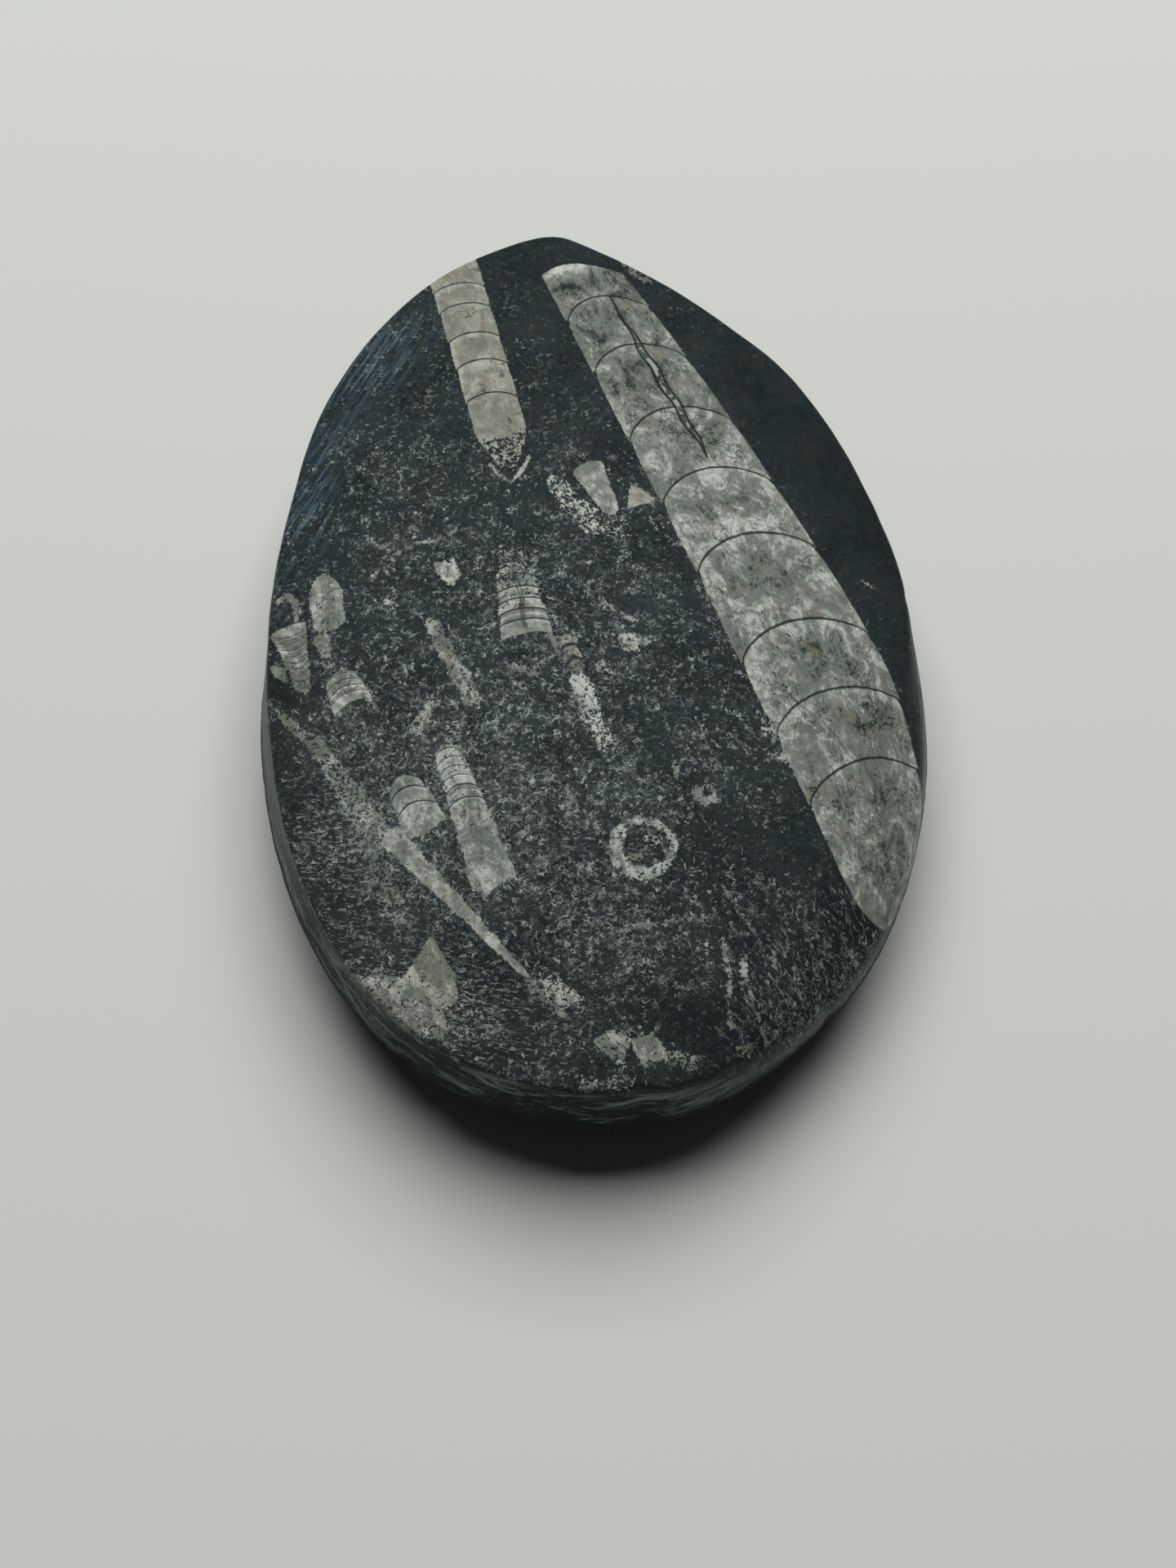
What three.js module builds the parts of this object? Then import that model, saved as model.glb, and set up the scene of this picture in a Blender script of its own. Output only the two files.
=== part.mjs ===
// A hand-sized slab of black limestone with orthoceras fossils, ground to an egg outline with one
// pointed end. The face is a low polished dome. Its edge is a ground bevel on the lower left and a
// soft roll on the lower right, and the sawn underside tapers to a flat that the stone rests on.
// Millimetres, +Z up, +Y towards the pointed end, origin under the middle of the stone.

import * as THREE from "three";

// Driving dimensions
const THICKNESS = 18.5; // from the resting flat to the top of the dome
const GIRDLE_HEIGHT = 8.5; // where the stone is widest
const UNDERCUT = 14; // how far the underside tapers in from the girdle
const TIP_UNDERCUT = 8; // the same under the pointed end
const DOME_POWER = 2.4; // 2 is a round dome, and more is flatter with a faster fall at the edge

// The rim is where the dome ends. Each place round the stone is one of these, or a blend of two.
// The drop is how far the outer part of the dome rolls down on its way to the rim.
const DOME_EDGE_HEIGHT = 14.3;
const SAWN_RIM = { inset: 0.2, drop: 0 }; // nearly upright side
const BEVEL_RIM = { inset: 1.8, drop: 0 }; // flat bevel that flares out to the girdle
const ROLLED_RIM = { inset: 2.6, drop: 2.4 }; // soft shoulder
const ROLL_START = 0.76; // share of the way out where the roll begins
const ROLL_BULGE = 0.45; // how far the rolled side stands out from a straight one

// Middle and half width of the bevel and the roll, as degrees anticlockwise from +X, and the
// degrees over which each fades into the sawn rim
const BEVEL = { middle: 236, half: 54, fade: 50 };
const ROLL = { middle: 320, half: 34, fade: 44 };

// Facets in the mesh
const COLUMNS = 144;
const DOME_RINGS = 12;
const SIDE_RINGS = 3;
const UNDER_RINGS = 8;

// The girdle's outline from the pointed end, clockwise. It is straighter where the stone was ground.
const OUTLINE = [
  [-4.7, 54.6],
  [0.4, 52.5],
  [8.8, 47.3],
  [15.8, 41.6],
  [22.2, 35.4],
  [27.6, 26.8],
  [31.5, 17.8],
  [34.4, 8.3],
  [36.1, 0],
  [36.9, -9.5],
  [36, -19],
  [33, -29.8],
  [28.6, -38.4],
  [22, -45.6],
  [13, -51.9],
  [3, -54.4],
  [-7, -53.4],
  [-16.5, -49.7],
  [-24.3, -43],
  [-30.2, -34.3],
  [-34.6, -23],
  [-36.8, -10],
  [-36.6, 1],
  [-34.9, 14],
  [-31.7, 28.7],
  [-26.3, 39.5],
  [-19.4, 47.6],
  [-11.8, 52.4],
];

const { smoothstep, lerp, radToDeg, euclideanModulo } = THREE.MathUtils;

// 1 within a span of angles, 0 well outside it and a soft change between.
function within(degrees, span) {
  const away = Math.abs(euclideanModulo(degrees - span.middle + 180, 360) - 180);
  return 1 - smoothstep(away, span.half - span.fade / 2, span.half + span.fade / 2);
}

// The rim's inset and drop at an angle round the stone, and how much of it is rolled.
function rimAt(angle) {
  const degrees = radToDeg(angle);
  const roll = within(degrees, ROLL);
  const bevel = within(degrees, BEVEL) * (1 - roll);
  const blend = (key) =>
    SAWN_RIM[key] +
    bevel * (BEVEL_RIM[key] - SAWN_RIM[key]) +
    roll * (ROLLED_RIM[key] - SAWN_RIM[key]);
  return { inset: blend("inset"), drop: blend("drop"), roll };
}

// The outline as points at equal angles round the middle of its box.
function girdlePoints() {
  const curve = new THREE.CatmullRomCurve3(
    OUTLINE.map(([x, y]) => new THREE.Vector3(x, y, 0)),
    true,
    "centripetal",
  );
  const fine = curve.getPoints(COLUMNS * 24);
  const middle = new THREE.Box3()
    .setFromPoints(fine)
    .getCenter(new THREE.Vector3());
  fine.forEach((p) => p.sub(middle));
  const byAngle = fine
    .map((p) => [Math.atan2(p.y, p.x), p.length()])
    .sort((a, b) => a[0] - b[0]);
  return Array.from({ length: COLUMNS }, (_, i) => {
    const angle = -Math.PI + ((i + 0.5) * 2 * Math.PI) / COLUMNS;
    const next = byAngle.findIndex(([a]) => a > angle);
    const [a1, r1] = byAngle[next];
    const [a0, r0] = byAngle[next - 1];
    return { angle, radius: lerp(r0, r1, (angle - a0) / (a1 - a0)) };
  });
}

// One column of the surface, from next to the top of the dome to the edge of the resting flat,
// as [distance from the axis, height] pairs.
function columnPoints({ angle, radius }) {
  const rim = rimAt(angle);
  const rimRadius = radius - rim.inset;
  const rimHeight = DOME_EDGE_HEIGHT - rim.drop;
  const points = [];
  for (let i = 1; i <= DOME_RINGS; i++) {
    const out = Math.sin(((i / DOME_RINGS) * Math.PI) / 2); // closer rings towards the rim
    const fall = (THICKNESS - DOME_EDGE_HEIGHT) * out ** DOME_POWER;
    const rolled = Math.max(0, (out - ROLL_START) / (1 - ROLL_START)) ** 3;
    points.push([rimRadius * out, THICKNESS - fall - rim.drop * rolled]);
  }
  // Between rim and girdle the side is straight, and bulges where the edge is rolled.
  for (let i = 1; i <= SIDE_RINGS; i++) {
    const down = i / SIDE_RINGS;
    const bulge = rim.roll * ROLL_BULGE * Math.sin(Math.PI * down);
    points.push([
      rimRadius + rim.inset * down + bulge,
      lerp(rimHeight, GIRDLE_HEIGHT, down) + bulge,
    ]);
  }
  // The underside is a quarter of an ellipse from the girdle in to the resting flat.
  const undercut = lerp(UNDERCUT, TIP_UNDERCUT, Math.max(0, Math.sin(angle)));
  for (let i = 1; i <= UNDER_RINGS; i++) {
    const turn = ((i / UNDER_RINGS) * Math.PI) / 2;
    points.push([
      radius - undercut * (1 - Math.cos(turn)),
      GIRDLE_HEIGHT * (1 - Math.sin(turn)),
    ]);
  }
  return points;
}

function stoneGeometry() {
  const positions = [0, 0, THICKNESS, 0, 0, 0];
  const TOP = 0;
  const BOTTOM = 1;
  const rings = DOME_RINGS + SIDE_RINGS + UNDER_RINGS;
  const columns = girdlePoints();
  for (const column of columns)
    for (const [out, height] of columnPoints(column))
      positions.push(
        out * Math.cos(column.angle),
        out * Math.sin(column.angle),
        height,
      );
  const at = (column, ring) => 2 + (column % COLUMNS) * rings + ring;
  const faces = [];
  for (let c = 0; c < COLUMNS; c++) {
    faces.push(TOP, at(c, 0), at(c + 1, 0));
    for (let r = 0; r + 1 < rings; r++) {
      faces.push(at(c, r), at(c, r + 1), at(c + 1, r + 1));
      faces.push(at(c, r), at(c + 1, r + 1), at(c + 1, r));
    }
    faces.push(BOTTOM, at(c + 1, rings - 1), at(c, rings - 1));
  }
  const geometry = new THREE.BufferGeometry();
  geometry.setAttribute(
    "position",
    new THREE.Float32BufferAttribute(positions, 3),
  );
  geometry.setIndex(faces);
  geometry.computeVertexNormals();
  return geometry;
}

const blackLimestone = new THREE.MeshStandardMaterial({
  color: 0x2f3738,
  roughness: 0.36,
  metalness: 0,
});

const part = new THREE.Group();
const stone = new THREE.Mesh(stoneGeometry(), blackLimestone);
stone.name = "fossil_stone";
part.add(stone);

export default part;
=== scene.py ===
"""A polished slab of black limestone with orthoceras shells cut flush in its face.

The stone's outline, rim and girdle are read from the CAD solid. Shells, broken pieces and bedding
are fields worked out at every vertex, and the material turns them into calcite, walls and flecks.
"""

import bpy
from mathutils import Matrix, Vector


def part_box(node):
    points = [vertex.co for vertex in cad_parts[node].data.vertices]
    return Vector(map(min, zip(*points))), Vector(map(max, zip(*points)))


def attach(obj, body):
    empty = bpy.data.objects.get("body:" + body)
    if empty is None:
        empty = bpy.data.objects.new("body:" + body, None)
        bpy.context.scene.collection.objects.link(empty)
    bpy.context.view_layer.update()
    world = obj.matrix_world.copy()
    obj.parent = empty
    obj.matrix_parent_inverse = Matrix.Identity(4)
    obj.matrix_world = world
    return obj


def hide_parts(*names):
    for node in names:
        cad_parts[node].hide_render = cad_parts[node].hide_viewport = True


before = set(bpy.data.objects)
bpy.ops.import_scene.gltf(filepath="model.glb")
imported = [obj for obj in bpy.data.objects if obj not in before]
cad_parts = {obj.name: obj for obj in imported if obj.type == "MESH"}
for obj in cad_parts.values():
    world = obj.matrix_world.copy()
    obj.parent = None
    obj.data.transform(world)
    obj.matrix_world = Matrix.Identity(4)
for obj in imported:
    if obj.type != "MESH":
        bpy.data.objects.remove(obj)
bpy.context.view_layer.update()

import math
from typing import NamedTuple

import bpy
import numpy as np
from mathutils import Vector

MM = 0.001

# ---------------------------------------------------------------- the CAD solid's driving rings

STONE = "fossil_stone"
LOW, HIGH = (np.array(corner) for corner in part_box(STONE))
THICKNESS = HIGH[2] - LOW[2]
RIM_RING = 11  # the CAD solid's rings counted from the top of the dome
GIRDLE_RING = 14

DOME_POWER = 2.4  # the same dome and roll as the CAD solid's
ROLL_START = 0.76  # share of the way out where a rolled edge begins to fall
ROLL_BULGE = 0.45 * MM  # how far the rolled side stands out from a straight one
AT_AXIS = 0.01 * MM  # nearer to the axis or to the floor than this counts as on it


def cad_rings():
    """The CAD solid's vertices as an array of (column, ring, xyz).

    Columns stand at equal angles round the vertical axis. In a column, the rings run from the top
    of the dome over the rim to the resting flat, which is the order of their angle seen from a
    point on the axis at half height.
    """
    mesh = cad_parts[STONE].data
    points = np.empty(3 * len(mesh.vertices))
    mesh.vertices.foreach_get("co", points)
    points = np.unique(points.reshape(-1, 3).round(7), axis=0)
    radius = np.hypot(points[:, 0], points[:, 1])
    points, radius = points[radius > AT_AXIS], radius[radius > AT_AXIS]
    columns = np.count_nonzero(points[:, 2] < AT_AXIS)
    angle = np.arctan2(points[:, 1], points[:, 0])
    column = np.round((angle / (2 * np.pi) + 0.5) * columns - 0.5)
    turn = np.arctan2(radius, points[:, 2] - THICKNESS / 2)
    return points[np.lexsort((turn, column))].reshape(columns, -1, 3)


RINGS = cad_rings()
RIM_HEIGHTS = RINGS[:, RIM_RING, 2]
DOME_FALL = THICKNESS - RIM_HEIGHTS.max()  # from the top of the dome to a rim that isn't rolled
ROLL_DROP = np.ptp(RIM_HEIGHTS)  # how much lower a fully rolled rim is


def around(ring, angle):
    """A CAD ring's radius and height at any angle: a cubic through the four nearest columns."""
    values = np.stack([np.hypot(RINGS[:, ring, 0], RINGS[:, ring, 1]), RINGS[:, ring, 2]])
    count = values.shape[1]
    place = (angle / (2 * np.pi) + 0.5) * count - 0.5
    near = np.floor(place).astype(int)
    t = place - near
    a, b, c, d = (values[:, (near + k) % count] for k in (-1, 0, 1, 2))
    return b + t / 2 * (c - a + t * (2 * a - 5 * b + 4 * c - d + t * (3 * (b - c) + d - a)))


# ---------------------------------------------------------------- the stone's surface

FACE_LINES = (100, 150)  # grid lines from the middle of the face to its edge, along X and Y
EDGE_LINES = 12  # and from there to the girdle, 6 round the rim and 6 down the side
FACE_SHARE = 0.9  # share of the grid's reach that the domed face takes
RIM_SHARE = 0.95  # and where the rim's fillet ends
CRISP_FILLET = 0.5 * MM
ROLLED_FILLET = 1.6 * MM
BASE_SHARE = 0.62  # share of the underside's grid that is the resting flat
LOWER_START = 0.985  # where the underside's own profile begins, just under the girdle
CORNER_TURN = math.atan2(HIGH[1] - LOW[1], HIGH[0] - LOW[0])  # a box corner's angle from +X

# Unevenness of the surface in millimetres: how deep it is, and its wave length
FACE_RIPPLE = (0.04, 17)
SIDE_RIPPLE = (0.03, 5)
PITS = (0.35, 7)
RIDGES = (0.16, 2.6)
GRIT = (0.07, 1.2)
SEAM_WAVES = ((0.03, 6), (0.03, 1.8))
LEAST_BREAK = 0.1  # how far the broken underside is set back before its pits are added
LEAST_SEAM = 0.04  # and how far the seam at the girdle is

# Shares of the grid's reach where one kind of surface gives way to the next
BREAK_FADE = (BASE_SHARE - 0.04, BASE_SHARE + 0.06)  # from the resting flat to the broken stone
SEAM_START = 0.86  # where the underside begins to even out towards the girdle
SIDE_FADE = (RIM_SHARE - 0.015, RIM_SHARE + 0.01)  # from the polished face to the ground side
POLISH_FADE = (0.988, 1)  # from the ground side to the sawn underside

# Small chips out of the edge, in millimetres: place, reach and depth
CHIPS = [
    (36.0, 4.6, 0.8, 0.7),
    (-35.6, -27.0, 1.6, 0.3),
    (24.0, -42.5, 1.2, 0.4),
    (5.0, -53.6, 1.8, 0.4),
    (-19.5, -47.6, 1.3, 0.35),
]


def smooth(low, high, value):
    """0 below low, 1 above high, and an even S between them."""
    t = np.clip((value - low) / (high - low), 0, 1)
    return t * t * (3 - 2 * t)


def waves(points, length, seed, count=24):
    """Smooth unevenness between about -1 and 1: a sum of plane waves of about one wave length,
    each in its own fixed direction and phase."""
    draw = np.random.default_rng(seed)
    direction = draw.normal(size=(count, 3))
    direction /= np.linalg.norm(direction, axis=1)[:, None]
    direction *= 2 * np.pi / (length * draw.uniform(0.6, 1.5, size=(count, 1)))
    phase = draw.uniform(0, 2 * np.pi, size=count)
    return np.sin(points @ direction.T + phase).sum(axis=-1) / math.sqrt(count)


def grid_lines(face_lines, edge_lines):
    """Grid parameters from -1 to 1: even over the face, then even over rim and side."""
    face = np.linspace(0, FACE_SHARE, face_lines + 1)
    edge = np.linspace(FACE_SHARE, 1, edge_lines + 1)[1:]
    half = np.concatenate([face, edge])
    return np.concatenate([-half[:0:-1], half])


def square_to_round(lines_x, lines_y):
    """Grid parameters to polar ones. The way out is the larger parameter, and the angle turns
    evenly along each side of the square, with the corners on the box's diagonals."""
    u, v = np.meshgrid(lines_x, lines_y)
    out = np.maximum(np.abs(u), np.abs(v))
    sideways = np.abs(u) >= np.abs(v)
    safe_u = np.where(u == 0, 1, u)
    safe_v = np.where(v == 0, 1, v)
    flank = CORNER_TURN * v / safe_u + np.pi * (u < 0)
    end = np.pi / 2 - (np.pi / 2 - CORNER_TURN) * u / safe_v + np.pi * (v < 0)
    angle = np.where(sideways, flank, end)
    return out.ravel(), (angle.ravel() + np.pi) % (2 * np.pi) - np.pi


def dome_height(share, rim_height):
    """Height at a share of the way to the rim: a power of the share, and a cubic roll outside."""
    rolled = np.clip((share - ROLL_START) / (1 - ROLL_START), 0, None) ** 3
    drop = THICKNESS - DOME_FALL - rim_height
    return THICKNESS - DOME_FALL * share**DOME_POWER - drop * rolled


def upper_profile(out, angle):
    """Radius and height on the upper sheet: the dome, then a fillet drawn as a parabola round
    the rim's corner, then the side down to the girdle, which bulges where the edge is rolled."""
    rim_radius, rim_height = around(RIM_RING, angle)
    girdle_radius, girdle_height = around(GIRDLE_RING, angle)
    roll = np.clip((THICKNESS - DOME_FALL - rim_height) / ROLL_DROP, 0, 1)
    fillet = CRISP_FILLET + roll * (ROLLED_FILLET - CRISP_FILLET)
    side_length = np.hypot(girdle_radius - rim_radius, girdle_height - rim_height)

    def side(down):
        """A straight line from rim to girdle, pushed out and up by half a sine wave."""
        bulge = roll * ROLL_BULGE * np.sin(np.pi * down)
        return (
            rim_radius + (girdle_radius - rim_radius) * down + bulge,
            rim_height + (girdle_height - rim_height) * down + bulge,
        )

    share = np.clip(out / FACE_SHARE, 0, 1) * (1 - fillet / rim_radius)
    face = rim_radius * share, dome_height(share, rim_height)
    down = fillet / side_length
    before, corner, after = face, (rim_radius, rim_height), side(down)
    t = np.clip((out - FACE_SHARE) / (RIM_SHARE - FACE_SHARE), 0, 1)
    rim = [(1 - t) ** 2 * a + 2 * t * (1 - t) * b + t**2 * c for a, b, c in zip(before, corner, after)]
    t = np.clip((out - RIM_SHARE) / (1 - RIM_SHARE), 0, 1)
    wall = side(down + (1 - down) * t)
    zone = [out <= FACE_SHARE, out <= RIM_SHARE]
    return [np.select(zone, [face[k], rim[k]], wall[k]) for k in (0, 1)]


def lower_profile(out, angle):
    """Radius and height on the underside: a quarter ellipse in to the edge of the resting flat,
    then the flat."""
    girdle_radius, girdle_height = around(GIRDLE_RING, angle)
    flat_radius, _ = around(-1, angle)
    turn = np.clip((1 - out) / (1 - BASE_SHARE), 0, 1) * np.pi / 2
    taper = girdle_radius - (girdle_radius - flat_radius) * (1 - np.cos(turn))
    radius = np.where(out < BASE_SHARE, flat_radius * out / BASE_SHARE, taper)
    return radius, girdle_height * (1 - np.sin(turn))


def to_points(radius, height, angle):
    """Places given round the vertical axis as points."""
    return np.stack([radius * np.cos(angle), radius * np.sin(angle), height], axis=1)


def quads(first, columns, rows):
    """Faces of a grid of vertices numbered by row from first."""
    corner = first + np.arange(columns - 1) + columns * np.arange(rows - 1)[:, None]
    return np.stack([corner, corner + 1, corner + columns + 1, corner + columns], axis=-1).reshape(-1, 4)


def border(first, columns, rows):
    """Vertices round the edge of a grid, anticlockwise from its first corner."""
    grid = first + np.arange(columns * rows).reshape(rows, columns)
    return np.concatenate([grid[0, :-1], grid[:-1, -1], grid[-1, :0:-1], grid[:0:-1, 0]])


def uneven(mm, kind, seed):
    """Waves of a kind of unevenness, in millimetres."""
    depth, length = kind
    return depth * waves(mm, length, seed)


def roughen(points, out, upper):
    """Freehand grinding and the broken underside, as a push along the line to the middle.

    The face has a fine ripple both ways. The side has a shorter one and a few chips, and the
    underside has pits, ridges and grit that fade out on the resting flat. Both are set back, so
    they stay inside the CAD solid to within a few hundredths of a millimetre. Upper sheet and
    underside meet in the same shallow seam at the girdle."""
    mm = points / MM
    centre = np.array([0, 0, THICKNESS / 2])
    inward = centre - points
    inward /= np.linalg.norm(inward, axis=1)[:, None]
    side = smooth(FACE_SHARE, RIM_SHARE, out)
    ground = SIDE_RIPPLE[0] + uneven(mm, SIDE_RIPPLE, 4)
    ripple = uneven(mm, FACE_RIPPLE, 3) * (1 - side) + ground * side
    broken = np.abs(uneven(mm, PITS, 5)) + np.abs(uneven(mm, RIDGES, 6)) + uneven(mm, GRIT, 7)
    broken = (LEAST_BREAK + broken) * smooth(*BREAK_FADE, out)
    depth = np.where(upper, ripple, broken)
    girdle = smooth(np.where(upper, RIM_SHARE, SEAM_START), 1, out)
    seam = LEAST_SEAM + sum(np.abs(uneven(mm, kind, 8 + k)) for k, kind in enumerate(SEAM_WAVES))
    depth = depth * (1 - girdle) + seam * girdle
    for x, y, reach, bite in CHIPS:
        away = np.hypot(mm[:, 0] - x, mm[:, 1] - y) / reach
        depth = depth + bite * np.exp(-(away**2)) * (side > 0)
    return points + inward * (depth * MM)[:, None]


# ---------------------------------------------------------------- what lies in the rock

# All in millimetres, as seen from above. A shell is a cone whose axis lies just under the face.


class Shell(NamedTuple):
    """A chambered shell cut lengthwise, from its start to its end."""

    start: tuple  # where its cut begins, x and y
    end: tuple
    half_width: tuple  # at start and at end
    walls: tuple = ()  # chamber walls, as distances from start at the flanks
    bow: float = 0.0  # how far a wall bulges back towards start
    skew: float = 0.0  # how much further on a wall's right end is than its middle
    shoulder: float = 0.0  # how far the flank steps in just after a wall
    tone: tuple = (0.5, 0.5)  # brightness at start and at end
    warmth: float = 0.0
    crisp: float = 0.8  # contrast of its crystals
    speckle: tuple = (0.0, 0.0)  # how far it has dissolved into flecks, at start and at end
    frayed: float = 0.0  # length of the far end that has dissolved altogether
    wall_width: float = 0.26
    axis_height: float = 14.0  # above the resting flat
    round_ends: tuple = (0.6, 0.6)  # how far each end is rounded off, or hollowed if negative
    slant: float = 0.0  # how much further on the right corner of its start is than the middle


def evenly(first, step, count):
    """Evenly spaced walls."""
    return tuple(first + step * k for k in range(count))


LARGE_SHELL = Shell(
    start=(-1.9, 49.5),
    end=(39.2, -37.9),
    half_width=(4.85, 9.3),
    walls=(9.9, 18.1, 28.4, 37.8, 47.3, 59.2, 68.1, 76.6),
    bow=4.0,
    skew=0.8,
    shoulder=0.45,
    tone=(0.5, 0.58),
    crisp=1.0,
    wall_width=0.36,
    axis_height=17.0,
    round_ends=(2.2, 0),
    slant=2.0,
)
SMALL_SHELL = Shell(
    start=(-17.3, 51.4),
    end=(-9.1, 18.6),
    half_width=(3.1, 2.9),
    walls=(6.2, 9.6, 14.5, 18.8, 24.0),
    bow=1.4,
    skew=0.35,
    shoulder=0.22,
    tone=(0.64, 0.64),
    warmth=0.6,
    crisp=0.24,
    frayed=6.2,
    round_ends=(0, 5.5),
)
SPLIT_SHELL = Shell(
    start=(-9.3, 9.0),
    end=(-7.2, -2.6),
    half_width=(1.6, 2.8),
    walls=(3.3, 4.9, 6.5, 8.0, 9.4, 10.7),
    bow=0.7,
    skew=0.1,
    shoulder=0.1,
    tone=(0.5, 0.64),
    crisp=0.5,
    speckle=(1.35, 0.0),
    round_ends=(1, -0.4),
)
# The pair side by side towards the lower left
BANDED_SHELL = Shell(
    start=(-15.6, -15.7),
    end=(-10.0, -31.6),
    half_width=(1.35, 2.45),
    walls=(1.1, 2.2, 3.3, 4.4, 5.6, 7.2),
    bow=0.8,
    skew=0.15,
    tone=(0.55, 0.6),
    speckle=(0.5, 0.15),
    wall_width=0.16,
    round_ends=(0.6, 0.4),
)
OVAL_SHELL = Shell(
    start=(-20.4, -19.0),
    end=(-17.2, -25.4),
    half_width=(1.7, 2.35),
    walls=(2.5, 4.5),
    bow=1.1,
    skew=0.2,
    tone=(0.58, 0.62),
    speckle=(0.15, 0.3),
    wall_width=0.24,
    round_ends=(1.4, 0.5),
)
# At the left rim
RIM_OVAL = Shell(
    start=(-29.9, 6.2),
    end=(-28.7, -1.2),
    half_width=(1.9, 1.8),
    tone=(0.58, 0.58),
    crisp=1.0,
    speckle=(0.45, 0.4),
    round_ends=(2.2, 1.0),
)
RIM_CONE = Shell(
    start=(-33.6, 0.2),
    end=(-31.0, -8.4),
    half_width=(2.1, 0.7),
    walls=evenly(0.7, 0.85, 9),
    bow=-0.8,
    skew=0.2,
    tone=(0.58, 0.42),
    warmth=0.15,
    speckle=(0.2, 0.55),
    wall_width=0.1,
    round_ends=(0.3, 0.8),
)
CUP_SHELL = Shell(
    start=(-27.7, -6.2),
    end=(-26.0, -9.9),
    half_width=(1.6, 2.2),
    walls=evenly(1.2, 0.85, 4),
    bow=0.9,
    skew=0.1,
    tone=(0.52, 0.62),
    warmth=0.2,
    speckle=(0.45, 0.1),
    wall_width=0.14,
    round_ends=(0.9, -0.9),
)
# A chain of pale beads near the middle
BEADED_SHELL = Shell(
    start=(-2.9, -2.9),
    end=(-1.6, -7.6),
    half_width=(1.1, 1.0),
    walls=(1.9, 3.7),
    bow=0.8,
    shoulder=0.3,
    tone=(0.52, 0.34),
    warmth=0.4,
    speckle=(0.35, 0.8),
    wall_width=0.6,
    round_ends=(1.0, 0.6),
)


def scrap(start, end, half_width, tone, speckle, warmth=0.1):
    """A short length of a shell without walls."""
    return Shell(start, end, half_width, tone=tone, speckle=speckle, warmth=warmth)


SCRAPS = [
    scrap((-17.9, -0.3), (-12.4, -11.2), (0.75, 0.95), (0.46, 0.5), (0.55, 0.7), 0.15),
    scrap((-1.9, -7.4), (1.5, -16.6), (1.0, 1.0), (0.95, 0.85), (0.5, 1.0), 0.0),
    scrap((-17.2, -10.6), (-19.2, -14.4), (0.5, 0.9), (0.6, 0.55), (0.5, 0.85)),
    scrap((-21.6, -25.2), (-6.6, -41.2), (1.3, 0.3), (0.6, 0.64), (0.4, 0.25), 0.25),
    scrap((-30.0, -1.3), (-28.6, -4.4), (1.0, 0.6), (0.5, 0.5), (0.45, 0.6)),
    scrap((-28.8, -4.2), (-26.6, -6.0), (0.8, 0.6), (0.5, 0.5), (1.2, 1.2)),
    scrap((-0.9, 19.3), (2.3, 12.3), (1.95, 0.8), (0.6, 0.6), (0.1, 0.35)),
    scrap((-4.9, 17.4), (1.0, 10.0), (0.8, 1.6), (0.8, 0.8), (0.85, 0.95)),
    scrap((2.4, 11.8), (3.8, 8.6), (0.8, 0.5), (0.7, 0.7), (1.0, 1.2)),
    scrap((-34.0, -10.4), (-28.6, -15.6), (0.4, 0.8), (0.32, 0.4), (0.6, 0.75), 0.25),
    scrap((-29.2, -15.0), (-22.2, -26.0), (0.9, 1.6), (0.44, 0.5), (0.8, 0.82), 0.2),
    scrap((-25.0, -23.4), (-19.4, -36.0), (0.8, 1.2), (0.38, 0.4), (1.0, 1.0), 0.25),
]
SHELLS = [LARGE_SHELL, SMALL_SHELL, SPLIT_SHELL, BANDED_SHELL, OVAL_SHELL]
SHELLS += [RIM_OVAL, RIM_CONE, CUP_SHELL, BEADED_SHELL, *SCRAPS]


class Fragment(NamedTuple):
    """A broken piece: what lies inside all the lines through neighbouring corners."""

    corners: tuple
    tone: float
    warmth: float
    speckle: float


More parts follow.
